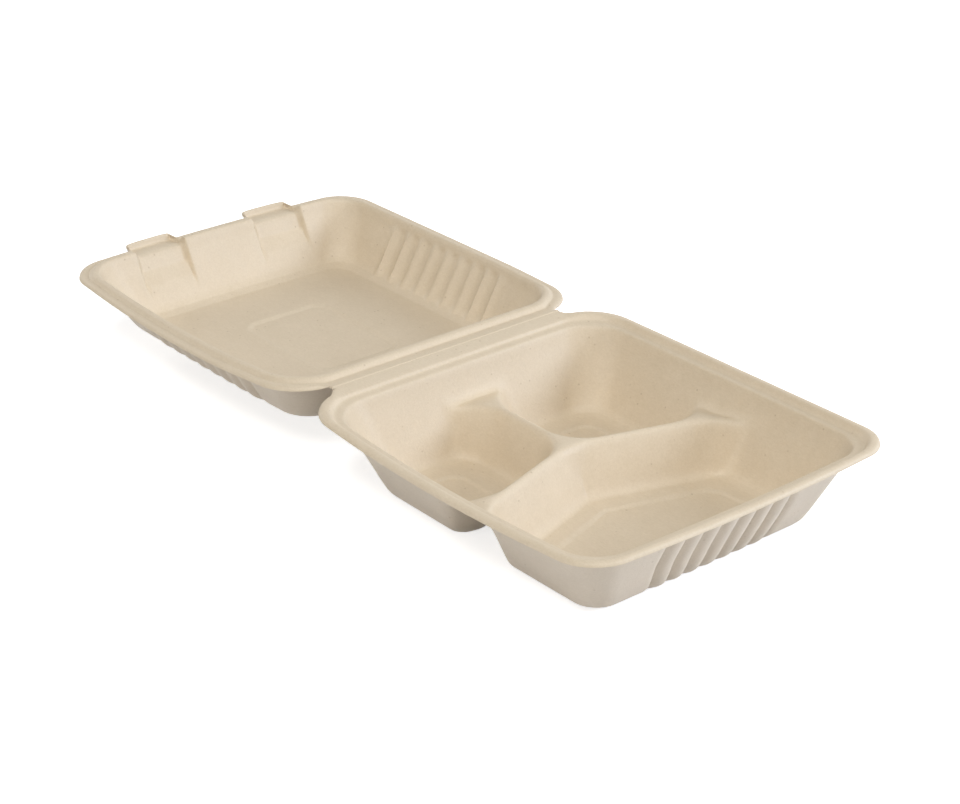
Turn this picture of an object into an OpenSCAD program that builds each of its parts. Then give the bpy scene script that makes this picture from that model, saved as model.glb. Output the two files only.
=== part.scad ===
// Takeaway meal box pressed in one from natural sugarcane pulp, shown open.
// Axes: +X along the fold, +Y from the tray to the lid, +Z up.
// Origin: on the ground, under the middle of the open box.

/* [Box] */
// Width across the middle of the rims, side to side
box_width = 200; // [170:1:240]
// Length of each rim, from the fold side to the front
box_length = 213; // [190:1:250]
// Depth of the tray, from its rim down to its feet
tray_depth = 45.5; // [40:0.5:60]
// Depth of the lid, from its rim down to its panel
lid_depth = 33; // [28:0.5:45]
// How far the sides and the front bulge out in the middle
side_bow = 4; // [1:0.5:6]
// How far the side rims dip in the middle
side_dip = 2.2; // [0:0.2:4]
// Rim corner radius at the front
front_radius = 19; // [14:1:24]
// Rim corner radius beside the fold
fold_radius = 24; // [18:1:28]
// Thickness of the pressed sheet
sheet = 0.8; // [0.7:0.1:1.2]

/* [Fold] */
// Distance between the two rims at the fold
fold_gap = 9; // [6:0.5:12]
// Length of the strip at the fold line
fold_length = 147; // [110:1:150]
// Height of the bead along the fold line
bead_height = 0.2; // [0.1:0.05:0.25]

/* [Flutes] */
// Distance from one groove between the flutes to the next
flute_pitch = 11.2; // [9:0.1:12]
// Number of grooves on the front of the tray
front_flutes = 8; // [4:1:8]
// Number of grooves on each side of the lid
side_flutes = 9; // [5:1:9]
// How deep the grooves are pressed in
flute_height = 1.9; // [0.5:0.1:2.2]

/* [Dividers] */
// Depth of the divider tops below the rim
divider_drop = 18; // [14:1:24]
// Distance from the fold to the point where the dividers meet
divider_reach = 92; // [84:1:100]
// Slope of the two side dividers towards the front
divider_slope = 0.31; // [0.1:0.01:0.4]
// Width of the divider tops
divider_width = 3.4; // [2.5:0.1:5]

/* [Lugs] */
// Distance of each locking lug from the middle of the lid
lug_place = 39.5; // [30:0.5:41]
// Width of a lug
lug_width = 24; // [16:1:26]
// How far a lug reaches past the rim
lug_reach = 6.5; // [4:0.5:8]

/* [Hidden] */
half_gap = fold_gap / 2;
half_width = box_width / 2 - side_bow;
rim_length = box_length - side_bow;
rim_height = tray_depth;
arc_steps = 6;
flat_end = 3.6;
step_inset = 9.4;
step_drop = 3.1;
wall_slope = 0.42;
foot_drop = 0.6;
panel_drop = 0.5;
tray_floor = sheet + foot_drop - tray_depth;
lid_floor = sheet + panel_drop - lid_depth;
crest_height = 1.5;
paper = [0.80, 0.72, 0.60];
flute_steps = 4;
lug_side = 3.6;
lip = lug_reach - 0.6;
lug_shape = 1 - pow((lug_place - lug_width / 2) / half_width, 2);
lid_end = rim_length + side_bow * lug_shape + lug_reach;
mid_shift = (lid_end - box_length) / 2;

// inset of the walls' inner faces at height z
function tray_wall(z) = step_inset + 1.6 + wall_slope * (-z - 7);
function lid_wall(z) = 10.9 + 0.46 * (-z - 4);
tray_foot = tray_wall(tray_floor);
lid_foot = lid_wall(lid_floor);
crest_inset = tray_wall(-divider_drop);

// rows: inset from the rim edge, height over the rim,
// share of the fold and front corner radii that is lost, shares of bow, flutes and dip
function tray_rows() = [
    [tray_foot + 8, tray_floor, 13, 10, 0, 0, 0],
    [tray_foot + 1.6, tray_floor + 0.9, 11, 8, 0.1, 0.6, 0],
    [tray_foot - 0.9, tray_floor + 3.4, 9.5, 7, 0.15, 0.9, 0],
    [tray_wall(tray_floor + 8), tray_floor + 8, 8, 6, 0.2, 1, 0],
    [tray_wall(-divider_drop - 2), -divider_drop - 2, 5, 4, 0.5, 1, 0],
    [tray_wall(-10), -10, 3, 3, 0.7, 1, 0.3],
    [step_inset + 1.1, -step_drop - 1.8, 2.5, 2.5, 0.85, 0, 0.8],
    [step_inset, -step_drop, 2, 2, 0.9, 0, 1],
    [flat_end + 2.9, 0.6 - step_drop, 1.5, 1.5, 0.95, 0, 1],
    [flat_end + 0.3, -0.2, 1, 1, 1, 0, 1],
    [flat_end - 1, 0, 0.5, 0.5, 1, 0, 1]
];
function lid_rows() = [
    [lid_foot + 8, lid_floor, 12, 9, 0, 0, 0],
    [lid_foot + 2.2, lid_floor + 0.9, 10, 7, 0.1, 0.5, 0],
    [lid_foot - 0.6, lid_floor + 3.3, 9, 6, 0.2, 0.9, 0],
    [lid_wall(lid_floor + 8.6), lid_floor + 8.6, 7, 5, 0.4, 1, 0.1],
    [lid_wall(lid_floor * 0.42), lid_floor * 0.42, 5, 4, 0.6, 1, 0.4],
    [lid_wall(-3.4), -3.4, 3, 2.5, 0.8, 1, 0.8],
    [9.7, crest_height - 1.7, 2, 2, 0.9, 0, 1],
    [8.8, crest_height - 0.4, 1.6, 1.6, 0.95, 0, 1],
    [7.3, crest_height, 1.2, 1.2, 0.95, 0, 1],
    [flat_end + 0.9, 0.3, 1, 1, 1, 0, 1],
    [flat_end, 0, 0.5, 0.5, 1, 0, 1]
];
function lug_rows() = [
    [lid_foot + 8, lid_floor],
    [lid_foot + 2.2, lid_floor + 0.9],
    [lid_foot - 0.6, lid_floor + 3.3],
    [lid_wall(lid_floor + 8.6) - 0.2, lid_floor + 8.6],
    [lid_wall(lid_floor * 0.42) - 1.6, lid_floor * 0.42],
    [lid_wall(-5) - 3.4, -5],
    [4.4, -2.9],
    [0.6, -2.4],
    [1.4 - lip, -1.9],
    [0.8 - lip, 0.6],
    [0.4 - lip, 0.9]
];

// a row pushed square to its own slope by the sheet
function pushed(rows, k, t) =
    let(
        a = rows[max(k - 1, 0)],
        b = rows[k],
        c = rows[min(k + 1, len(rows) - 1)],
        u = k == 0 ? [-1, 0] : [b[0] - a[0], b[1] - a[1]] / norm([b[0] - a[0], b[1] - a[1]]),
        w = k == len(rows) - 1 ? [-1, 0] : [c[0] - b[0], c[1] - b[1]] / norm([c[0] - b[0], c[1] - b[1]]),
        m = [u[1] + w[1], -u[0] - w[0]],
        n = m / norm(m),
        s = min(1.5, 1 / max(0.5, n * [u[1], -u[0]]))
    )
    [b[0] - n[0] * t * s, b[1] - n[1] * t * s];

// depth of the grooves at place s, for count grooves about the middle; the flutes between them are rounded
function groove(s, count) =
    let(p = s / flute_pitch + count / 2)
    p <= 0 || p >= count ? 0 : flute_height * (1 - abs(cos(180 * p)));

function flute_places(count) =
    [for (k = [0:count * flute_steps]) (k / flute_steps - count / 2) * flute_pitch];
function plain_places(reach, steps) = [for (k = [0:steps]) (2 * k / steps - 1) * reach];
function lug_places() =
    let(
        h = lug_width / 2,
        side = [for (k = [0:3]) h + lug_side * k / 3],
        one = concat([for (k = [3:-1:0]) -side[k]], [-h / 2, 0, h / 2], side)
    )
    concat(
        [for (d = one) d - lug_place],
        [-10, 0, 10],
        [for (d = one) d + lug_place]
    );
function lug_share(x) =
    let(
        d = abs(abs(x) - lug_place) - lug_width / 2,
        s = 1 - d / lug_side
    )
    max(0, min(1, s));

// one ring of the shell; v runs from the fold side (0) to the front
function ring(row, z, inset, sides, fronts, flute_sides, flute_front) =
    let(
        hw = half_width - inset,
        v0 = inset,
        v1 = rim_length - inset,
        rh = fold_radius - row[2],
        rf = front_radius - row[3],
        mid = rim_length / 2,
        ss = min(1, (mid - inset - rh - 1) / max(sides)),
        fs = min(1, (hw - rf - 1) / max(fronts)),
        n = len(sides) - 1,
        m = len(fronts) - 1,
        flat = concat(
            [for (k = [0:arc_steps]) let(a = -90 + 90 * k / arc_steps)
                [hw - rh + rh * cos(a), v0 + rh + rh * sin(a)]],
            [for (s = sides) [hw - row[5] * groove(s, flute_sides), mid + s * ss]],
            [for (k = [0:arc_steps]) let(a = 90 * k / arc_steps)
                [hw - rf + rf * cos(a), v1 - rf + rf * sin(a)]],
            [for (k = [m:-1:0]) [fronts[k] * fs, v1 - row[5] * groove(fronts[k], flute_front)]],
            [for (k = [0:arc_steps]) let(a = 90 + 90 * k / arc_steps)
                [-hw + rf + rf * cos(a), v1 - rf + rf * sin(a)]],
            [for (k = [n:-1:0]) [-hw + row[5] * groove(sides[k], flute_sides), mid + sides[k] * ss]],
            [for (k = [0:arc_steps]) let(a = 180 + 90 * k / arc_steps)
                [-hw + rh + rh * cos(a), v0 + rh + rh * sin(a)]],
            [[-hw / 3, v0], [hw / 3, v0]]
        )
    )
    [for (p = flat)
        let(
            u = p[0] / half_width,
            t = p[1] / mid - 1
        )
        [
            p[0] + side_bow * row[4] * (1 - t * t) * u,
            p[1] + (t > 0 ? side_bow * row[4] * (1 - u * u) * t : 0),
            z - side_dip * row[6] * (1 - t * t) * u * u
        ]];

// closed skin through rings of equal length; way is 1 or -1
module skin(rings, way, fold) {
    n = len(rings[0]);
    m = len(rings);
    points = [for (r = rings) for (p = r) [p[0], fold * (half_gap + p[1]), p[2]]];
    walls = [for (i = [0:m - 2]) for (k = [0:n - 1])
        let(a = i * n + k, b = i * n + (k + 1) % n, c = a + n, d = b + n)
        each [[a, b, d], [a, d, c]]];
    caps = [[for (k = [n - 1:-1:0]) k], [for (k = [0:n - 1]) (m - 1) * n + k]];
    faces = concat(walls, caps);
    polyhedron(
        points = points,
        faces = way > 0 ? [for (f = faces) [for (k = [len(f) - 1:-1:0]) f[k]]] : faces,
        convexity = 10
    );
}

// a rounded outline: corners, radii, inset d, height z
function outline(corners, radii, d, z, steps) =
    let(n = len(corners))
    [for (k = [0:n - 1])
        let(
            a = corners[(k + n - 1) % n],
            b = corners[k],
            c = corners[(k + 1) % n],
            u = (b - a) / norm(b - a),
            w = (c - b) / norm(c - b),
            nu = [-u[1], u[0]],
            nw = [-w[1], w[0]],
            e = d + radii[k],
            s = e / (1 + nu * nw),
            o = b + (nu + nw) * s,
            a0 = atan2(-nu[1], -nu[0]),
            turn = atan2(u[0] * w[1] - u[1] * w[0], u * w)
        )
        for (j = [0:steps])
            let(q = a0 + turn * j / steps)
            [o[0] + radii[k] * cos(q), o[1] + radii[k] * sin(q), z]];

module prism_skin(rings) {
    n = len(rings[0]);
    m = len(rings);
    walls = [for (i = [0:m - 2]) for (k = [0:n - 1])
        let(a = i * n + k, b = i * n + (k + 1) % n, c = a + n, d = b + n)
        each [[a, d, b], [a, c, d]]];
    caps = [[for (k = [0:n - 1]) k], [for (k = [n - 1:-1:0]) (m - 1) * n + k]];
    polyhedron(points = [for (r = rings) each r], faces = concat(walls, caps), convexity = 10);
}

// compartments, in plan, at the height of the divider tops
room_side = 0.8;
back_y = -half_gap - crest_inset + room_side;
front_y = -half_gap - box_length + crest_inset - room_side;
wall_x = half_width - crest_inset + 0.5 * side_bow + room_side;
reach_y = -divider_reach;
half_top = divider_width / 2;
function small_room(side) =
    let(
        inner = side * half_top,
        outer = side * wall_x,
        y0 = reach_y + half_top * 1.05 - divider_slope * half_top,
        y1 = reach_y + half_top * 1.05 - divider_slope * wall_x
    )
    side > 0
        ? [[inner, y0], [outer, y1], [outer, back_y], [inner, back_y]]
        : [[inner, back_y], [outer, back_y], [outer, y1], [inner, y0]];
small_radii_right = [12, 17, 16, 17];
small_radii_left = [17, 16, 17, 12];
front_room = [
    [0, reach_y - half_top * 1.05],
    [-wall_x, reach_y - half_top * 1.05 - divider_slope * wall_x],
    [-wall_x, front_y],
    [wall_x, front_y],
    [wall_x, reach_y - half_top * 1.05 - divider_slope * wall_x]
];
front_radii = [7, 17, 12, 12, 17];

// rings of a room from its floor to above the divider tops, grown by t
function room_rings(corners, radii, t) =
    let(
        drop = -divider_drop,
        low = tray_floor,
        run = wall_slope,
        grown = [for (r = radii) r + t],
        full = run * (drop - low - 8)
    )
    [
        outline(corners, grown, full + 8.5 - t * 0.6, low - t, 5),
        outline(corners, grown, full + 4.2 - t * 0.8, low + 1 - t * 0.8, 5),
        outline(corners, grown, full + 1.6 - t, low + 3.6 - t * 0.5, 5),
        outline(corners, grown, full - 0.6 - t, low + 8 - t * 0.3, 5),
        outline(corners, grown, 1.6 - t, drop - 4 - t * 0.3, 5),
        outline(corners, grown, 0.4 - t, drop - 1.8 - t * 0.5, 5),
        outline(corners, grown, -0.4 - t * 0.6, drop - 0.7 - t * 0.8, 5),
        outline(corners, grown, -1.2, drop - t * 0.98, 5)
    ];

level_row = [0, 0, 0.5, 0.5, 1, 0, 0];
tray_fronts = flute_places(front_flutes);
tray_sides = plain_places(60, 8);
module tray_solid() {
    rows = tray_rows();
    last = len(rows) - 1;
    rings = concat(
        [for (k = [0:last])
            let(q = pushed(rows, k, sheet))
            ring(rows[k], q[1], q[0], tray_sides, tray_fronts, 0, front_flutes)],
        [
            ring(rows[last], -sheet, 0.3, tray_sides, tray_fronts, 0, front_flutes),
            ring(rows[last], 0 - sheet * 0.6, 0, tray_sides, tray_fronts, 0, front_flutes),
            ring(level_row, 4, 0, tray_sides, tray_fronts, 0, front_flutes)
        ]
    );
    skin(rings, -1, -1);
}
module tray_void() {
    rows = tray_rows();
    last = len(rows) - 1;
    rings = concat(
        [for (k = [0:last]) ring(rows[k], rows[k][1], rows[k][0], tray_sides, tray_fronts, 0, front_flutes)],
        [
            ring(rows[last], 0, 0.4, tray_sides, tray_fronts, 0, front_flutes),
            ring(rows[last], -0.4, 0, tray_sides, tray_fronts, 0, front_flutes),
            ring(rows[last], -0.9, -0.5, tray_sides, tray_fronts, 0, front_flutes),
            ring(level_row, 9, -0.5, tray_sides, tray_fronts, 0, front_flutes)
        ]
    );
    skin(rings, -1, -1);
}
module above(z) {
    translate([-box_width, -2 * box_length, z])
        cube([2 * box_width, 2 * box_length + 20, 60]);
}
module rooms(t) {
    prism_skin(room_rings(small_room(1), small_radii_right, t));
    prism_skin(room_rings(small_room(-1), small_radii_left, t));
    prism_skin(room_rings(front_room, front_radii, t));
}
// a flat pad with sloping edges, round its corners, between two heights
module pad(corners, r, z0, z1, grow) {
    hull() {
        for (c = corners)
            translate([c[0], c[1], z0])
                cylinder(h = z1 - z0, r1 = r, r2 = r + grow, $fn = 24);
    }
}
pad_round = 8;
pad_margin = 13;
front_margin = 9;
divider_margin = 16;
pad_side = half_width - tray_foot - pad_margin - pad_round;
pad_inner = 31 + pad_round;
pad_back = -half_gap - tray_foot - pad_margin - pad_round;
pad_front = -half_gap - rim_length + tray_foot + front_margin + pad_round;
pad_middle = -divider_reach - wall_slope * (-tray_floor - divider_drop) - divider_margin - pad_round;
small_pad_front = pad_middle + 2 * (-divider_reach - pad_middle);
module feet(z0, z1, grow) {
    for (s = [-1, 1])
        pad(
            [
                [s * pad_inner, pad_back],
                [s * pad_side, pad_back],
                [s * pad_side, small_pad_front - divider_slope * pad_side],
                [s * pad_inner, small_pad_front - divider_slope * pad_inner]
            ],
            pad_round, z0, z1, grow
        );
    pad(
        [
            [0, pad_middle],
            [-pad_side, pad_middle - divider_slope * pad_side],
            [-pad_side, pad_front],
            [pad_side, pad_front],
            [pad_side, pad_middle - divider_slope * pad_side]
        ],
        pad_round, z0, z1, grow
    );
}
module strip(side) {
    e = fold_length / 2;
    g = half_gap;
    translate([0, 0, -sheet])
        linear_extrude(sheet)
            polygon([
                [-e, 0], [e, 0], [e + 0.6, side * g * 0.4], [e + 2.2, side * g * 0.8], [e + 5, side * (g + 1)],
                [e + 5, side * (g + 3)], [-e - 5, side * (g + 3)],
                [-e - 5, side * (g + 1)], [-e - 2.2, side * g * 0.8], [-e - 0.6, side * g * 0.4]
            ]);
}
// the bead pressed along the fold line, one half on each side of it, in short lengths that fade to the ends
bead_parts = 8;
module bead_place(k, side) {
    p = 2 * k / bead_parts - 1;
    share = 1 - 0.7 * pow(abs(p), 4);
    translate([p * (fold_length / 2 - 1.5), side * 1, -0.3])
        cylinder(h = 0.3 + bead_height * share, r1 = 0.9, r2 = 0.45, $fn = 12);
}
module bead(side) {
    for (k = [0:bead_parts - 1])
        hull() {
            bead_place(k, side);
            bead_place(k + 1, side);
        }
}

module tray() {
    color(paper)
        translate([0, -mid_shift, rim_height])
            union() {
                difference() {
                    union() {
                        intersection() {
                            tray_solid();
                            union() {
                                above(-divider_drop - sheet);
                                rooms(sheet);
                            }
                        }
                        feet(-tray_depth, tray_floor - sheet + 0.2, 0.8);
                    }
                    intersection() {
                        tray_void();
                        union() {
                            above(-divider_drop);
                            rooms(0);
                        }
                    }
                    feet(tray_floor - foot_drop, tray_floor + 0.02, 0.8);
                }
                strip(-1);
                bead(-1);
            }
}

lid_sides = flute_places(side_flutes);
lid_fronts = lug_places();
// lid ring with the lugs mixed in
function lid_ring(k, t) =
    let(
        rows = lid_rows(),
        lugs = lug_rows(),
        q = t > 0 ? pushed(rows, k, t) : [rows[k][0], rows[k][1]],
        g = t > 0 ? pushed(lugs, k, t) : lugs[k],
        base = ring(rows[k], q[1], q[0], lid_sides, lid_fronts, side_flutes, 0)
    )
    lugged(base, q, g);
// beside a lug the plug falls away first, then the edge moves out, and its lip rises last
function lugged(base, q, g) =
    let(rises = g[1] > q[1])
    [for (p = base)
        let(
            share = p[1] > rim_length * 0.75 ? lug_share(p[0]) : 0,
            out = max(0, (share - 1 / 3) * 1.5),
            up = rises ? out * out * out : min(1, share * 3)
        )
        [p[0], p[1] + out * (q[0] - g[0]), p[2] + up * (g[1] - q[1])]];
module lid_shell() {
    rows = lid_rows();
    last = len(rows) - 1;
    top = [for (k = [0:last]) lid_ring(k, 0)];
    under = [for (k = [last:-1:0]) lid_ring(k, sheet)];
    flat = rows[last];
    reach = -lug_reach;
    edge = [
        lugged(ring(flat, 0, 0.4, lid_sides, lid_fronts, 0, 0), [0.4, 0], [0.4 + reach, 0.9]),
        lugged(ring(flat, -0.4, 0, lid_sides, lid_fronts, 0, 0), [0, -0.4], [reach, 0.5]),
        lugged(ring(flat, 0.1 - sheet, 0, lid_sides, lid_fronts, 0, 0), [0, 0.1 - sheet], [reach, 0.2 - sheet + 0.7]),
        lugged(ring(flat, -sheet, 0.3, lid_sides, lid_fronts, 0, 0), [0.3, -sheet], [0.3 + reach, -sheet + 0.9])
    ];
    skin(concat(top, edge, under), -1, 1);
}
panel_half = [18, 29.5];
module panel(z0, z1, grow) {
    pad(
        [for (c = [[-1, -1], [1, -1], [1, 1], [-1, 1]])
            [c[0] * panel_half[0], half_gap + 106 + c[1] * panel_half[1]]],
        pad_round, z0, z1, grow
    );
}
module lid() {
    color(paper)
        translate([0, -mid_shift, rim_height])
            union() {
                difference() {
                    union() {
                        lid_shell();
                        panel(-lid_depth, lid_floor - sheet + 0.2, 0.8);
                    }
                    panel(lid_floor - panel_drop, lid_floor + 0.02, 0.8);
                }
                strip(1);
                bead(1);
            }
}

tray();
lid();
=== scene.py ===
import math

import bpy
import numpy as np
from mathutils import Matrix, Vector


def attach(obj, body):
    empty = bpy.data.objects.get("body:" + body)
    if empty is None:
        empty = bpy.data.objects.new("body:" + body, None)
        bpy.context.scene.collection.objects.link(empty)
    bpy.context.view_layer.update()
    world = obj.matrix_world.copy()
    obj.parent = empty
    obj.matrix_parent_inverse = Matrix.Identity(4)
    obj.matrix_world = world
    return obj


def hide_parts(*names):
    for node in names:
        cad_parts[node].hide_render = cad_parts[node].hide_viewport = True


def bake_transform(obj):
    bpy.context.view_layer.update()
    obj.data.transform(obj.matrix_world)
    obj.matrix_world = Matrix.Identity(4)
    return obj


# Takeaway meal box of pressed sugarcane pulp: the fine shells of its tray, lid and fold.
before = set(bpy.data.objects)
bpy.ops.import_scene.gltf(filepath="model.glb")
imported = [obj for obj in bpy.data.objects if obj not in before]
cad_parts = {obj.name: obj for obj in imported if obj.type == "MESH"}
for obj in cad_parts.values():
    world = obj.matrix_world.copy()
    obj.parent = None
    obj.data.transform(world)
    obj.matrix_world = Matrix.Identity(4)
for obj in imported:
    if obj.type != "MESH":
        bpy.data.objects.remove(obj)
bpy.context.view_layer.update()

# Driving sizes in millimetres, as in the construction source
BOX_WIDTH = 200.0
BOX_LENGTH = 213.0
TRAY_DEPTH = 45.5
LID_DEPTH = 33.0
SIDE_BOW = 4.0
SIDE_DIP = 2.2
SHEET = 0.8
FOLD_GAP = 9.0
FOLD_LENGTH = 147.0
TRAY_PITCH = 11.2
LID_PITCH = 11.7
FRONT_FLUTES = 8
SIDE_FLUTES = 9
FLUTE_HEIGHT = 1.9
DIVIDER_DROP = 18.0
DIVIDER_REACH = 92.0
DIVIDER_SLOPE = 0.31
DIVIDER_WIDTH = 3.4
LUG_PLACE = 39.5
PLAIN_LUG_WIDTH = 24.0
LUG_WIDTH = 27.5
LUG_REACH = 6.5
LUG_SIDE = 3.0
STEP_INSET = 9.4
WALL_SLOPE = 0.42
PAD_ROUND = 8.0
CREASE = 1.6

HALF_GAP = FOLD_GAP / 2
HALF_WIDTH = BOX_WIDTH / 2 - SIDE_BOW
RIM_LENGTH = BOX_LENGTH - SIDE_BOW
MIDDLE = RIM_LENGTH / 2
# share of the front's bow at the inner side of a lug, whose tip is the far end of the open box
LUG_BOW_SHARE = 1 - ((LUG_PLACE - PLAIN_LUG_WIDTH / 2) / HALF_WIDTH) ** 2
MIDDLE_SHIFT = (RIM_LENGTH + SIDE_BOW * LUG_BOW_SHARE + LUG_REACH - BOX_LENGTH) / 2
FOOT_DROP = 0.9
TRAY_FLOOR = SHEET + FOOT_DROP - TRAY_DEPTH
LID_FLOOR = SHEET + 0.5 - LID_DEPTH
INNER_INSET = 36.0
TRAY_WALL_INSET = STEP_INSET + 1.6
TRAY_WALL_TOP = 7
LID_WALL_INSET = 10.9
LID_WALL_TOP = 4
LID_WALL_SLOPE = 0.46
MM = 0.001


def tray_wall(z):
    """Inset of the tray's wall at height z over the rim."""
    return TRAY_WALL_INSET + WALL_SLOPE * (-z - TRAY_WALL_TOP)


def lid_wall(z):
    """Inset of the lid's wall at height z over the rim."""
    return LID_WALL_INSET + LID_WALL_SLOPE * (-z - LID_WALL_TOP)


TRAY_FOOT = tray_wall(TRAY_FLOOR)
LID_FOOT = lid_wall(LID_FLOOR)
CREST_INSET = tray_wall(-DIVIDER_DROP)
SMALL_CORNER = 28.0
MAIN_CORNER = 20.0
SMALL_JUNCTION = 15
MAIN_JUNCTION = 8
TOP_SPREAD = 3.2
TOP_TILT = 0.32
TOP_LIFT = 0.35
RIDGE_EDGE = 1.3
RIDGE_SLOPE = 0.45
VALLEY_ROUND = 6.5
FLUTE_OUT = 0.8
GROOVE_POWER = 1.15
END_GROOVE_SHARE = 0.7
LUG_TIP_ROUND = 0.14
FOLD_EASE = 5.5
LID_TAPER = 2.2
LID_STRIP_CUT = 3
PANEL_DEPTH = 0.95
PANEL_HALF_WIDTH = 26
PANEL_HALF_LENGTH = 37.5
PANEL_PLACE = 106
PAD_MARGIN = 13
PAD_FRONT_MARGIN = 9
PAD_DIVIDER_MARGIN = 16
PAD_INNER = 31
PAD_SIDE = HALF_WIDTH - TRAY_FOOT - PAD_MARGIN
PAD_BACK = -HALF_GAP - TRAY_FOOT - PAD_MARGIN
PAD_FRONT = -HALF_GAP - RIM_LENGTH + TRAY_FOOT + PAD_FRONT_MARGIN
PAD_MIDDLE = -DIVIDER_REACH - WALL_SLOPE * (-TRAY_FLOOR - DIVIDER_DROP) - PAD_DIVIDER_MARGIN

# How the corner radii and the bow of the sides fade from the rim edge to the floor
CORNER_INSETS = [0, 12, INNER_INSET]
FOLD_CORNERS = [24, 21.6, 11.5]
FRONT_CORNERS = [19, 17, 9.5]
BOW_INSETS = [0, 11, 20, 30, INNER_INSET]
BOW_SHARES = [1, 0.9, 0.5, 0.15, 0]
CORNER_GAP = 0.6


def smooth_step(low, high, value):
    """Soft step from 0 at low to 1 at high."""
    t = np.clip((value - low) / (high - low), 0, 1)
    return t * t * (3 - 2 * t)


def soft_max(a, b, reach):
    """Larger of two heights, rounded where they are within reach of each other."""
    near = np.maximum(reach - np.abs(a - b), 0) / reach
    return np.maximum(a, b) + near * near * reach / 4


def rounded_reach(radius, *distances):
    """Distance into a corner of several straight walls, with the corner rounded."""
    total = sum(np.maximum(radius - d, 0) ** 2 for d in distances)
    nearest = np.minimum.reduce(distances)
    return radius - np.sqrt(total) + np.maximum(nearest - radius, 0)


def soften(*tables):
    """Sections with the same number of points, resampled together with their corners blurred."""
    sample, blur, reach = 0.2, 2.6, 7
    row_gap, row_turn = 1.6, 0.27
    tables = [np.array(t, float) for t in tables]
    lengths = np.max([np.hypot(*np.diff(t, axis=0).T) for t in tables], axis=0)
    counts = np.maximum(np.ceil(lengths / sample).astype(int), 2)
    index = np.concatenate(
        [k + np.arange(n) / n for k, n in enumerate(counts)] + [[len(counts)]])
    weights = np.exp(-0.5 * (np.arange(-reach, reach + 1) / blur) ** 2)
    weights /= weights.sum()
    lines = []
    for table in tables:
        line = np.stack(
            [np.interp(index, np.arange(len(table)), table[:, k]) for k in (0, 1)], axis=1)
        start = 2 * line[0] - line[1:reach + 1][::-1]
        end = 2 * line[-1] - line[-reach - 1:-1][::-1]
        padded = np.concatenate([start, line, end])
        lines.append(np.stack(
            [np.convolve(padded[:, k], weights, "valid") for k in (0, 1)], axis=1))
    # rows are kept closer where a section turns
    effort = np.zeros(len(index) - 1)
    for line in lines:
        step = np.diff(line, axis=0)
        angle = np.unwrap(np.arctan2(step[:, 1], step[:, 0]))
        turn = np.abs(np.diff(angle, prepend=angle[0]))
        effort = np.maximum(effort, np.hypot(*step.T) / row_gap + turn / row_turn)
    total = np.concatenate([[0], np.cumsum(effort)])
    kept = np.searchsorted(total, np.arange(0, total[-1], 1.0))
    kept = np.unique(np.concatenate([kept, [len(index) - 1]]))
    return [line[kept] for line in lines]


# Sections of the rims and walls: inset from the rim edge, height over the rim.
# The tables of one shell have matching rows, so that one section passes into another along the rim.
TRAY_WALL_ROWS = [
    (tray_wall(-10), -10), (tray_wall(-DIVIDER_DROP), -DIVIDER_DROP),
    (tray_wall(TRAY_FLOOR + 8), TRAY_FLOOR + 8),
    (TRAY_FOOT - 1.0, TRAY_FLOOR + 3.2), (TRAY_FOOT + 1.4, TRAY_FLOOR + 0.7), (TRAY_FOOT + 4.6, TRAY_FLOOR),
    (INNER_INSET + 1, TRAY_FLOOR),
]
TRAY_SECTION = [
    (-0.1, -2.1), (0.0, -1.2), (0.6, -0.4), (1.8, 0), (3.4, 0), (4.3, -0.5), (5.4, -2.4), (6.4, -3.0),
    (8.8, -3.1), (9.6, -3.5), (10.4, -5.2)] + TRAY_WALL_ROWS
TRAY_FOLD_SECTION = [
    (CREASE - HALF_GAP, -0.1), (CREASE - HALF_GAP + 0.8, -0.2), (-1.2, -0.3), (0.4, -0.5), (3.2, -0.9),
    (4.5, -1.15), (5.2, -2.6), (6.4, -3.0), (8.8, -3.1), (9.6, -3.5), (10.4, -5.2)] + TRAY_WALL_ROWS
LID_WALL_ROWS = [
    (lid_wall(-5), -5), (lid_wall(LID_FLOOR * 0.45), LID_FLOOR * 0.45),
    (lid_wall(LID_FLOOR + 9), LID_FLOOR + 9),
    (LID_FOOT - 1.5, LID_FLOOR + 4.4), (LID_FOOT + 0.9, LID_FLOOR + 1.6), (LID_FOOT + 5.4, LID_FLOOR),
    (INNER_INSET + 1, LID_FLOOR),
]
LID_SECTION = [
    (-0.1, -1.9), (0.0, -1.1), (0.6, -0.4), (1.8, 0), (3.0, -0.1), (4.2, -0.25), (5.8, 1.3), (7.0, 1.75),
    (8.4, 1.5), (9.4, 0), (10.2, -2.0)] + LID_WALL_ROWS
LID_FOLD_SECTION = [
    (CREASE - HALF_GAP, -0.1), (CREASE - HALF_GAP + 0.8, -0.2), (-1.0, -0.35), (0.2, -0.5), (2.6, -0.9),
    (3.4, -0.6), (4.8, 1.2), (6.4, 1.7), (8.4, 1.5), (9.4, 0), (10.2, -2.0)] + LID_WALL_ROWS
LUG_SECTION = [
    (-0.1 - LUG_REACH, -0.7), (0.0 - LUG_REACH, 0.1), (0.5 - LUG_REACH, 0.8), (1.2 - LUG_REACH, 1.1),
    (1.9 - LUG_REACH, 0.7), (2.5 - LUG_REACH, -1.9), (3.6 - LUG_REACH, -2.5), (1.0, -2.2), (4.6, -2.0),
    (6.6, -2.8), (8.4, -5.4), (10.6, -10.5),
    (lid_wall(LID_FLOOR * 0.55) - 0.6, LID_FLOOR * 0.55)] + LID_WALL_ROWS[2:]


def places_along(reach, step, fine=()):
    """Places from -reach to reach, closer together where a fine stretch asks for it."""
    spots = [-reach]
    while spots[-1] < reach:
        here = spots[-1]
        gap = step
        for low, high, close in fine:
            if low <= here <= high:
                gap = close
        spots.append(here + gap)
    spots = np.array(spots)
    return -reach + (spots + reach) * (2 * reach / (spots[-1] + reach))


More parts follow.
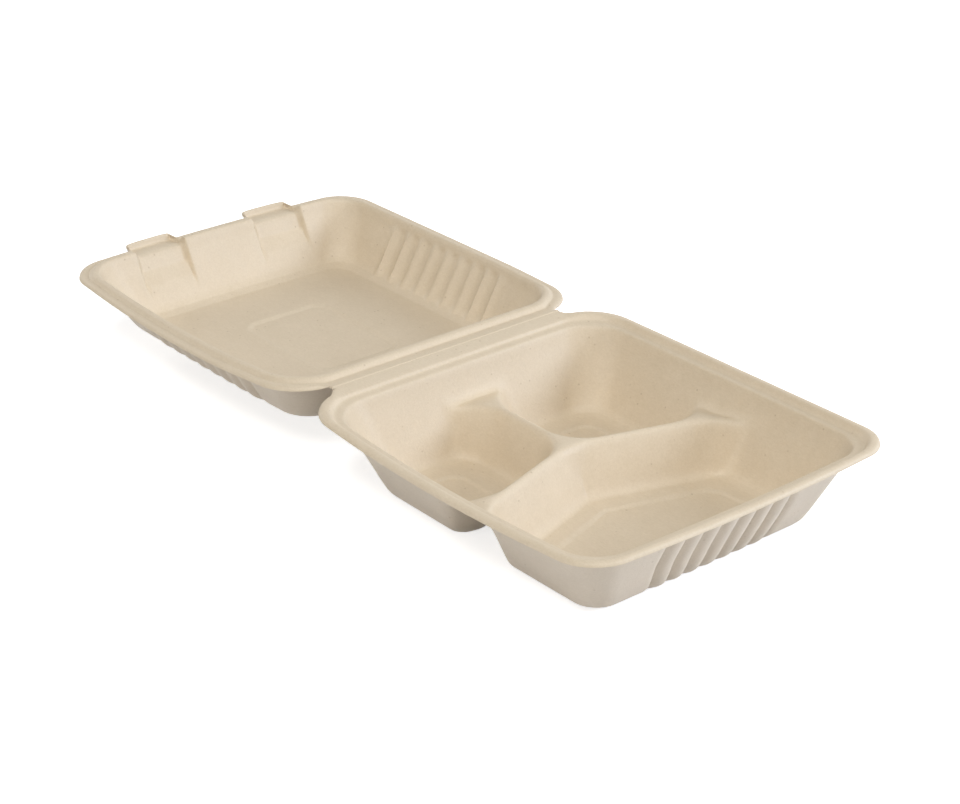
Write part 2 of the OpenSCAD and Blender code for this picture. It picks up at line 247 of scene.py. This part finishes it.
def grooves(s, pitch, count):
    """Depth of a row of sharp grooves; the round flutes between them stand out a little."""
    turn = s / pitch + count / 2
    depth = (FLUTE_HEIGHT + FLUTE_OUT) * (1 - np.abs(np.cos(np.pi * turn))) ** GROOVE_POWER
    between_first_and_last = (turn > 0.5) & (turn < count - 0.5)
    beside = (turn > 0) & (turn < count)
    at_ends = np.where(beside, depth * END_GROOVE_SHARE, 0)
    return np.where(between_first_and_last, depth - FLUTE_OUT, at_ends)


class Rim:
    """Plan of the rings of one shell; v runs from the fold side to the front."""

    def __init__(self, sides, fronts, side_flutes, front_flutes, taper, strip):
        self.taper = taper
        self.strip = strip
        self.sides = sides
        self.fronts = fronts
        self.side_flutes = side_flutes
        self.front_flutes = front_flutes
        self.arc = np.linspace(0, math.pi / 2, 17)

    def ring(self, inset, flute):
        """Plan points of one ring, counter-clockwise from the middle of the fold-right corner."""
        half = HALF_WIDTH - inset
        low, high = inset, RIM_LENGTH - inset
        fold_radius = np.interp(inset, CORNER_INSETS, FOLD_CORNERS)
        front_radius = np.interp(inset, CORNER_INSETS, FRONT_CORNERS)
        bow = SIDE_BOW * np.interp(inset, BOW_INSETS, BOW_SHARES)
        side_scale = np.minimum(1, (MIDDLE - inset - fold_radius - CORNER_GAP) / self.sides.max())
        front_scale = np.minimum(1, (half - front_radius - CORNER_GAP) / self.fronts.max())
        sides = self.sides
        fronts = self.fronts
        side_in = flute * grooves(sides, LID_PITCH, self.side_flutes)
        front_in = flute * grooves(fronts, TRAY_PITCH, self.front_flutes)
        # the fold side's places are squeezed between its own corner arcs
        squeezed = np.clip(fronts / fronts.max(), -1, 1) * (half - fold_radius - CORNER_GAP)
        back = np.stack([squeezed, np.full_like(fronts, low)], axis=1)
        right = np.stack([half - side_in, MIDDLE + sides * side_scale], axis=1)
        front = np.stack([fronts[::-1] * front_scale, high - front_in[::-1]], axis=1)
        left = np.stack([-half + side_in[::-1], MIDDLE + sides[::-1] * side_scale], axis=1)
        corners = []
        for quarter, (x, v, r) in enumerate([
            (half, low, fold_radius), (half, high, front_radius),
            (-half, high, front_radius), (-half, low, fold_radius),
        ]):
            turn = self.arc + (quarter - 1) * math.pi / 2
            centre_x = x - math.copysign(r, x)
            centre_v = v + r if v == low else v - r
            corners.append(np.stack(
                [centre_x + r * np.cos(turn), centre_v + r * np.sin(turn)], axis=1))
        flat = np.concatenate(
            [back, corners[0], right, corners[1], front, corners[2], left, corners[3]])
        across = flat[:, 0] / HALF_WIDTH
        ahead = flat[:, 1] / MIDDLE - 1
        x = flat[:, 0] + (bow * (1 - ahead ** 2) - self.taper * smooth_step(-0.3, -1, ahead)) * across
        v = flat[:, 1] + np.where(ahead > 0, bow * (1 - across ** 2) * ahead, 0)
        return x, v

    def sides_of_patch(self, count_total):
        """Index ranges of the four edges of the inner patch, cut at the middle of each corner."""
        n_front, n_side, n_arc = len(self.fronts), len(self.sides), len(self.arc)
        half_arc = n_arc // 2
        corner_0 = n_front + half_arc
        corner_1 = corner_0 + n_arc + n_side
        corner_2 = corner_1 + n_arc + n_front
        corner_3 = corner_2 + n_arc + n_side
        return [
            np.arange(corner_3, corner_0 + count_total + 1) % count_total,
            np.arange(corner_0, corner_1 + 1),
            np.arange(corner_1, corner_2 + 1),
            np.arange(corner_2, corner_3 + 1),
        ]


def grid_faces(index):
    """Four-sided faces of a grid of point numbers."""
    corners = [index[:-1, :-1], index[1:, :-1], index[1:, 1:], index[:-1, 1:]]
    return np.stack(corners, axis=-1).reshape(-1, 4)


def with_lugs(x, v, z, inset, height, lug_point):
    """One ring moved to the lugs' section. Beside a lug the plug falls away first, then the edge
    moves out, and its lip rises last."""
    beside = np.abs(np.abs(x) - LUG_PLACE) - LUG_WIDTH / 2
    part = np.where(v > RIM_LENGTH * 0.75, np.clip(1 - beside / LUG_SIDE, 0, 1), 0)
    off_middle = (np.abs(np.abs(x) - LUG_PLACE) / (LUG_WIDTH / 2 + LUG_SIDE / 2)).clip(0, 1)
    out = smooth_step(1 / 3, 1, part) * (1 - LUG_TIP_ROUND * off_middle ** 5)
    up = out ** 2 if lug_point[1] > height else smooth_step(0, 0.45, part)
    return v + out * (inset - lug_point[0]), z + up * (lug_point[1] - height)


def with_fold(x, v, z, inset, height, fold_point, strip):
    """One ring moved to the folding strip's section along the strip."""
    fade = smooth_step(strip / 2 - 0.5, strip / 2 + FOLD_EASE, np.abs(x))
    at_fold = np.where(v < MIDDLE * 0.4, 1 - fade, 0)
    return v + at_fold * (fold_point[0] - inset), z + at_fold * (fold_point[1] - height)


def inner_patch(bottom, right, top, left):
    """Plan points of a patch that is stretched between its four edges."""
    u = np.linspace(0, 1, len(bottom))[:, None, None]
    w = np.linspace(0, 1, len(right))[None, :, None]
    return (
        (1 - w) * bottom[:, None] + w * top[:, None] + (1 - u) * left[None] + u * right[None]
        - (1 - u) * (1 - w) * bottom[0] - u * (1 - w) * bottom[-1]
        - (1 - u) * w * top[0] - u * w * top[-1]
    )


def shell_mesh(rim, sections, flute_band, top_height):
    """Upper face of one pressed shell. The grid is rings round an inner patch."""
    lines = soften(*sections)
    line, fold_line = lines[0], lines[1]
    lug_line = lines[2] if len(lines) > 2 else None
    rows = []
    for k, (inset, height) in enumerate(line):
        x, v = rim.ring(inset, flute_band(height))
        z = np.full_like(x, height)
        if lug_line is not None:
            v, z = with_lugs(x, v, z, inset, height, lug_line[k])
        v, z = with_fold(x, v, z, inset, height, fold_line[k], rim.strip)
        rows.append(np.stack([x, v, z, np.full_like(x, inset)], axis=1))
    rings = np.stack(rows)
    count = rings.shape[1]
    edges = rim.sides_of_patch(count)
    last = rings[-1]
    bottom, right, top, left = (last[e][:, :2] for e in edges)
    top, left = top[::-1], left[::-1]
    patch = inner_patch(bottom, right, top, left)
    reach_x = HALF_WIDTH - INNER_INSET - 1 - np.abs(patch[..., 0])
    reach_v = MIDDLE - INNER_INSET - 1 - np.abs(patch[..., 1] - MIDDLE)
    patch_inset = INNER_INSET + 1 + np.maximum(rounded_reach(10, reach_x, reach_v), 0)
    inner = np.concatenate([
        patch, np.full(patch.shape[:2] + (1,), line[-1, 1]), patch_inset[..., None]
    ], axis=2)
    index = np.full(patch.shape[:2], -1)
    base = (len(rings) - 1) * count
    index[:, 0] = base + edges[0]
    index[-1, :] = base + edges[1]
    index[:, -1] = base + edges[2][::-1]
    index[0, :] = base + edges[3][::-1]
    free = index < 0
    index[free] = len(rings) * count + np.arange(free.sum())
    points = np.concatenate([rings.reshape(-1, 4), inner[free]])
    points[:, 2] = top_height(*points.T)
    grid = np.arange(len(rings) * count).reshape(len(rings), count)
    ahead = np.roll(grid, -1, axis=1)
    ring_faces = np.stack([grid[:-1], ahead[:-1], ahead[1:], grid[1:]], axis=-1)
    ring_faces = ring_faces.reshape(-1, 4)
    return points[:, :3], np.concatenate([ring_faces, grid_faces(index)]), grid[0]


def normals_of(points, faces):
    """Area-weighted normals of a grid of four-sided faces."""
    a, b, c, d = (points[faces[:, k]] for k in range(4))
    cross = np.cross(c - a, d - b)
    total = np.zeros_like(points)
    for k in range(4):
        np.add.at(total, faces[:, k], cross)
    return total / np.maximum(np.linalg.norm(total, axis=1, keepdims=True), 1e-9)


def add_mesh(name, points, faces):
    """New smooth piece in the scene from points in millimetres; real edges stay sharp."""
    mesh = bpy.data.meshes.new(name)
    mesh.from_pydata((points * MM).tolist(), [], faces)
    mesh.update()
    mesh.shade_smooth()
    mesh.set_sharp_from_angle(angle=math.radians(52))
    made = bpy.data.objects.new(name, mesh)
    bpy.context.scene.collection.objects.link(made)
    return made


def thick_object(name, points, faces, rim_loop, side):
    """Closed sheet from its upper face, on the tray's side (-1) or the lid's side (1) of the fold."""
    placed = np.stack([points[:, 0], side * (HALF_GAP + points[:, 1]), points[:, 2]], axis=1)
    if side < 0:
        faces = faces[:, ::-1]
    placed[:, 1] -= MIDDLE_SHIFT
    placed[:, 2] += TRAY_DEPTH
    under = placed - normals_of(placed, faces) * SHEET
    count = len(placed)
    loop = rim_loop if side > 0 else rim_loop[::-1]
    after = np.roll(loop, -1)
    edge_faces = np.stack([loop, loop + count, after + count, after], axis=1)
    all_faces = np.concatenate([faces, faces[:, ::-1] + count, edge_faces])
    made = add_mesh(name, np.concatenate([placed, under]), all_faces.tolist())
    outside = made.data.attributes.new("outside", "FLOAT", "POINT")
    outside.data.foreach_set("value", np.repeat([0.0, 1.0], count))
    return made


def tray_height(x, v, z, inset):
    """Height of the tray: its dish, the three dividers and the pressed pads."""
    y = -(HALF_GAP + v)
    half_top = DIVIDER_WIDTH / 2
    lean = math.hypot(1, DIVIDER_SLOPE)
    line = (y + DIVIDER_REACH + DIVIDER_SLOPE * np.abs(x)) / lean
    right = rounded_reach(SMALL_JUNCTION, x - half_top, line - half_top)
    left = rounded_reach(SMALL_JUNCTION, -x - half_top, line - half_top)
    toward_right = -(y + DIVIDER_REACH + DIVIDER_SLOPE * x) / lean
    toward_left = -(y + DIVIDER_REACH - DIVIDER_SLOPE * x) / lean
    front = rounded_reach(MAIN_JUNCTION, toward_right - half_top, toward_left - half_top)
    small = np.maximum(right, left)
    into = np.maximum(small, front)

    # the upright corners beside the walls are rounded too, which spreads the tops of the dividers there
    radius = np.where(small > front, SMALL_CORNER, MAIN_CORNER)
    corner = rounded_reach(radius, into, inset - CREST_INSET)
    corner = corner + TOP_SPREAD * smooth_step(8, radius, into)
    into = np.where(into < radius, np.minimum(into, corner), into)
    fall = (into + np.sqrt(into ** 2 + RIDGE_EDGE ** 2)) / 2 / RIDGE_SLOPE
    # towards the small compartments the spread tops slope down
    main_corner = np.minimum(front, rounded_reach(MAIN_CORNER, front, inset - CREST_INSET))
    tilt = TOP_TILT * np.clip(-main_corner - 2.0, 0, 9) * smooth_step(30, 12, inset)
    ridge = -DIVIDER_DROP + TOP_LIFT - fall - tilt
    z = soft_max(z, ridge, VALLEY_ROUND)
    across = np.abs(x)
    mirror = -2 * DIVIDER_REACH - PAD_MIDDLE
    small_pad = rounded_reach(
        PAD_ROUND, across - PAD_INNER, PAD_SIDE - across, PAD_BACK - y,
        (y - mirror + DIVIDER_SLOPE * across) / lean)
    main_pad = rounded_reach(
        PAD_ROUND, PAD_SIDE - across, (PAD_MIDDLE - y - DIVIDER_SLOPE * across) / lean, y - PAD_FRONT)
    feet = smooth_step(-0.7, 0.7, small_pad) + smooth_step(-0.6, 0.6, main_pad)
    return z - FOOT_DROP * feet


def dipped(height):
    """Adds the dip of the side rims, which fades out down the walls."""
    def shaped(x, v, z, inset):
        z = height(x, v, z, inset)
        fade = 1 - smooth_step(9, 22, inset)
        return z - SIDE_DIP * fade * (1 - (v / MIDDLE - 1) ** 2) * (x / HALF_WIDTH) ** 2
    return shaped


def lid_height(x, v, z, inset):
    """Height of the lid: its dish and the pressed panel."""
    panel = rounded_reach(9, PANEL_HALF_WIDTH - np.abs(x), PANEL_HALF_LENGTH - np.abs(v - PANEL_PLACE))
    return z - PANEL_DEPTH * smooth_step(-0.6, 0.7, panel)


def tray_flutes(height):
    """Share of the tray's groove depth at a height over the rim: none at the step and the floor."""
    under_step = smooth_step(5.4, 8.0, -height)
    return float(under_step * smooth_step(TRAY_FLOOR - 0.2, TRAY_FLOOR + 1.8, height))


def lid_flutes(height):
    """Share of the lid's groove depth at a height over the rim: none at the rim and the top."""
    under_rim = smooth_step(1.5, 6, -height)
    return float(under_rim * smooth_step(LID_FLOOR - 0.1, LID_FLOOR + 3, height))


def feed(tree, slot, item):
    """Links a socket to a value, or sets it to a constant."""
    if isinstance(item, Value):
        tree.links.new(item.socket, slot)
    else:
        slot.default_value = item


class Value:
    """A shader socket that takes part in ordinary arithmetic."""

    def __init__(self, tree, socket):
        self.tree = tree
        self.socket = socket

    def math(self, operation, *others):
        node = self.tree.nodes.new("ShaderNodeMath")
        node.operation = operation
        for slot, item in zip(node.inputs, (self,) + others):
            feed(self.tree, slot, item)
        return Value(self.tree, node.outputs[0])

    def __add__(self, other):
        return self.math("ADD", other)

    def __radd__(self, other):
        return self + other

    def __sub__(self, other):
        return self.math("SUBTRACT", other)

    def __rsub__(self, other):
        return self * -1.0 + other

    def __mul__(self, other):
        return self.math("MULTIPLY", other)

    def clamp(self, low, high):
        return self.math("MAXIMUM", low).math("MINIMUM", high)

    def step(self, low, high):
        return ((self - low) * (1 / (high - low))).clamp(0.0, 1.0)


def add_node(tree, kind, settings, **sockets):
    """One shader node with its settings first and then its socket values or links."""
    node = tree.nodes.new(kind)
    for key, value in settings.items():
        setattr(node, key, value)
    for key, value in sockets.items():
        feed(tree, node.inputs[key.replace("_", " ")], value)
    return node


def linear(red, green, blue):
    """Linear colour from screen colour values up to 255."""
    def one(c):
        c = c / 255
        return c / 12.92 if c <= 0.04045 else ((c + 0.055) / 1.055) ** 2.4
    return (one(red), one(green), one(blue), 1)


def mixed(tree, share, first, second):
    """Mix of two colours by a share; each colour is a socket or a value."""
    node = add_node(tree, "ShaderNodeMix", {"data_type": "RGBA"}, Factor=share)
    feed(tree, node.inputs[6], first)
    feed(tree, node.inputs[7], second)
    return Value(tree, node.outputs[2])


def seen_share(tree):
    """1 where a surface is seen straight, mirrored or through glass, and 0 where it only lights others."""
    rays = add_node(tree, "ShaderNodeLightPath", {})
    kinds = ("Is Camera Ray", "Is Glossy Ray", "Is Transmission Ray")
    straight, mirrored, through = (Value(tree, rays.outputs[kind]) for kind in kinds)
    return (straight + mirrored + through).clamp(0.0, 1.0)


def empty_material(name):
    """New material and its node tree without nodes."""
    material = bpy.data.materials.new(name)
    material.use_nodes = True
    material.node_tree.nodes.clear()
    return material, material.node_tree


def pulp_material():
    """Pressed sugarcane pulp: warm, faintly clouded, with fibres, specks and a satin skin."""
    material, tree = empty_material("pressed_pulp")
    place = Value(tree, add_node(tree, "ShaderNodeTexCoord", {}).outputs["Object"])

    def noise(scale, detail, rough):
        node = add_node(
            tree, "ShaderNodeTexNoise", {}, Vector=place, Scale=scale, Detail=detail, Roughness=rough)
        return Value(tree, node.outputs[0])

    clouds = noise(38.0, 3.0, 0.55)
    blotch = noise(170.0, 3.0, 0.6)
    grain = noise(900.0, 4.0, 0.65)
    stretched = add_node(
        tree, "ShaderNodeMapping", {}, Vector=place, Scale=(900.0, 240.0, 900.0), Rotation=(0.3, 0.2, 0.7))
    fibres = Value(tree, add_node(
        tree, "ShaderNodeTexNoise", {}, Vector=Value(tree, stretched.outputs[0]), Scale=1.0, Detail=3.0,
        Roughness=0.6, Distortion=1.4).outputs[0])
    speck_cells = add_node(tree, "ShaderNodeTexVoronoi", {}, Vector=place, Scale=330.0, Randomness=1.0)
    speck_pick = Value(tree, speck_cells.outputs["Color"])
    speck_dot = 1.0 - Value(tree, speck_cells.outputs["Distance"]).step(0.10, 0.22)
    speck = speck_dot * speck_pick.step(0.80, 0.84)
    tone = (clouds - 0.5) * 0.3 + (blotch - 0.5) * 0.3 + (grain - 0.5) * 0.6 + (fibres - 0.5) * 0.6
    share = (tone + 0.5).clamp(0.0, 1.0)
    inner = mixed(tree, share, linear(200, 182, 153), linear(224, 209, 185))
    outer = mixed(tree, share, linear(200, 185, 163), linear(222, 209, 191))
    outside = Value(
        tree, add_node(tree, "ShaderNodeAttribute", {"attribute_name": "outside"}).outputs["Fac"])
    colour = mixed(tree, outside, inner, outer)
    colour = mixed(tree, speck * 0.35, colour, linear(150, 122, 84))
    rough = 0.50 + (blotch - 0.5) * 0.25 + (grain - 0.5) * 0.2
    relief = grain * 0.45 + fibres * 0.35 + blotch * 0.6
    bump = add_node(tree, "ShaderNodeBump", {}, Strength=0.35, Distance=0.00035, Height=relief)
    shader = add_node(
        tree, "ShaderNodeBsdfPrincipled", {}, Base_Color=colour, Roughness=rough,
        Normal=Value(tree, bump.outputs[0]))
    shader.inputs["Specular IOR Level"].default_value = 0.45
    add_node(tree, "ShaderNodeOutputMaterial", {}, Surface=Value(tree, shader.outputs[0]))
    return material


def floor_material():
    """White floor that keeps the box's shadow and is lighter to the eye than to the box."""
    material, tree = empty_material("white_floor")
    skin = add_node(tree, "ShaderNodeBsdfDiffuse", {}, Color=(0.85, 0.85, 0.85, 1))
    glow = add_node(tree, "ShaderNodeEmission", {}, Color=(1, 1, 1, 1), Strength=seen_share(tree) * 0.72)
    both = add_node(tree, "ShaderNodeAddShader", {})
    feed(tree, both.inputs[0], Value(tree, skin.outputs[0]))
    feed(tree, both.inputs[1], Value(tree, glow.outputs[0]))
    add_node(tree, "ShaderNodeOutputMaterial", {}, Surface=Value(tree, both.outputs[0]))
    return material


# The shells
pulp = pulp_material()

DIVIDER_ENDS = [(-20, 14, 1.1)]
LUG_EDGES = [(-58, -50, 0.6), (-29, -21, 0.6), (21, 29, 0.6), (50, 58, 0.6)]
tray_rim = Rim(places_along(62, 1.7, DIVIDER_ENDS), places_along(61.6, 1.12), 0, FRONT_FLUTES, 0, FOLD_LENGTH)
lid_rim = Rim(
    places_along(61.6, 1.5), places_along(64, 2.0, LUG_EDGES), SIDE_FLUTES, 0,
    LID_TAPER, FOLD_LENGTH - LID_STRIP_CUT)

tray_face = shell_mesh(tray_rim, [TRAY_SECTION, TRAY_FOLD_SECTION], tray_flutes, dipped(tray_height))
lid_face = shell_mesh(
    lid_rim, [LID_SECTION, LID_FOLD_SECTION, LUG_SECTION], lid_flutes, dipped(lid_height))
tray = thick_object("tray_shell", *tray_face, -1)
lid = thick_object("lid_shell", *lid_face, 1)


def fold_crease():
    """The soft strip at the fold line, with its raised crease."""
    xs = np.linspace(-FOLD_LENGTH / 2 - 0.3, FOLD_LENGTH / 2 + 0.3, 120)
    ys = np.linspace(-CREASE, CREASE, 21)
    xx, yy = np.meshgrid(xs, ys, indexing="ij")
    zz = -0.1 * np.abs(yy) / CREASE + 0.4 * np.exp(-(yy / 0.6) ** 2)
    top = np.stack([xx, yy - MIDDLE_SHIFT, TRAY_DEPTH + zz], axis=-1).reshape(-1, 3)
    under = top - np.array([0, 0, SHEET])
    grid = np.arange(len(top)).reshape(len(xs), len(ys))
    faces = grid_faces(grid)
    ends = [(grid[0, k], grid[0, k + 1]) for k in range(len(ys) - 1)]
    ends += [(grid[-1, k + 1], grid[-1, k]) for k in range(len(ys) - 1)]
    count = len(top)
    closing = [(a, b, b + count, a + count) for a, b in ends]
    all_faces = faces.tolist() + (faces[:, ::-1] + count).tolist() + closing
    return add_mesh("fold_crease", np.concatenate([top, under]), all_faces)


crease = fold_crease()
for piece in (tray, lid, crease):
    piece.data.materials.append(pulp)
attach(tray, "base")
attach(lid, "cover")
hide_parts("tray")
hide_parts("lid")
fold_y = -MIDDLE_SHIFT * MM
fold_z = TRAY_DEPTH * MM
crease_start = (0, fold_y - CREASE * MM, fold_z)
crease_end = (0, fold_y + CREASE * MM, fold_z)
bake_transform(crease)

# Floor, lights and camera
FLOOR_REACH = 4.0
floor_corners = [(x * FLOOR_REACH, y * FLOOR_REACH, 0) for x, y in ((-1, -1), (1, -1), (1, 1), (-1, 1))]
floor_mesh = bpy.data.meshes.new("floor")
floor_mesh.from_pydata(floor_corners, [], [(0, 1, 2, 3)])
floor = bpy.data.objects.new("floor", floor_mesh)
bpy.context.scene.collection.objects.link(floor)
floor.data.materials.append(floor_material())
LAMP_SIZE = 0.9
LAMP_AWAY = 2.9


def direction(turn, rise):
    """Unit vector away from the box: degrees round from the front and degrees up."""
    turn, rise = math.radians(turn), math.radians(rise)
    return Vector((
        math.sin(turn) * math.cos(rise), -math.cos(turn) * math.cos(rise), math.sin(rise)))


def area_light(name, turn, rise, power, colour=(1, 1, 1)):
    """A square soft light aimed at the box: degrees round from the front, degrees up, watts."""
    way = direction(turn, rise)
    data = bpy.data.lights.new(name, "AREA")
    data.shape = "SQUARE"
    data.size = LAMP_SIZE
    data.energy = power
    data.color = colour
    lamp = bpy.data.objects.new(name, data)
    lamp.location = way * LAMP_AWAY
    lamp.rotation_euler = (-way).to_track_quat("-Z", "Y").to_euler()
    bpy.context.scene.collection.objects.link(lamp)


area_light("front_right", 45, 22, 51, (0.76, 0.84, 1.0))
area_light("front_high", 0, 55, 24)
area_light("left_high", -60, 55, 32)
area_light("left_low", -90, 22, 13)
area_light("right_low", 90, 22, 12.5)
area_light("back_low", 180, 25, 11)

world = bpy.data.worlds.new("studio")
bpy.context.scene.world = world
world.use_nodes = True
sky = world.node_tree
background = sky.nodes["Background"]
background.inputs["Color"].default_value = (1, 1, 1, 1)
feed(sky, background.inputs["Strength"], seen_share(sky) * 0.95 + 0.05)

AZIMUTH = -39.69
ELEVATION = 25.93
DISTANCE = 1102.8 * MM
TARGET = Vector((-28.1, -61.8, 45.5)) * MM
camera_data = bpy.data.cameras.new("camera")
camera_data.sensor_width = 36
camera_data.lens = 85.7
camera_data.clip_start = 0.05
camera = bpy.data.objects.new("camera", camera_data)
back = direction(AZIMUTH, ELEVATION)
camera.location = TARGET + back * DISTANCE
camera.rotation_euler = (-back).to_track_quat("-Z", "Y").to_euler()
bpy.context.scene.collection.objects.link(camera)
bpy.context.scene.camera = camera
bpy.context.scene.view_settings.view_transform = "Standard"
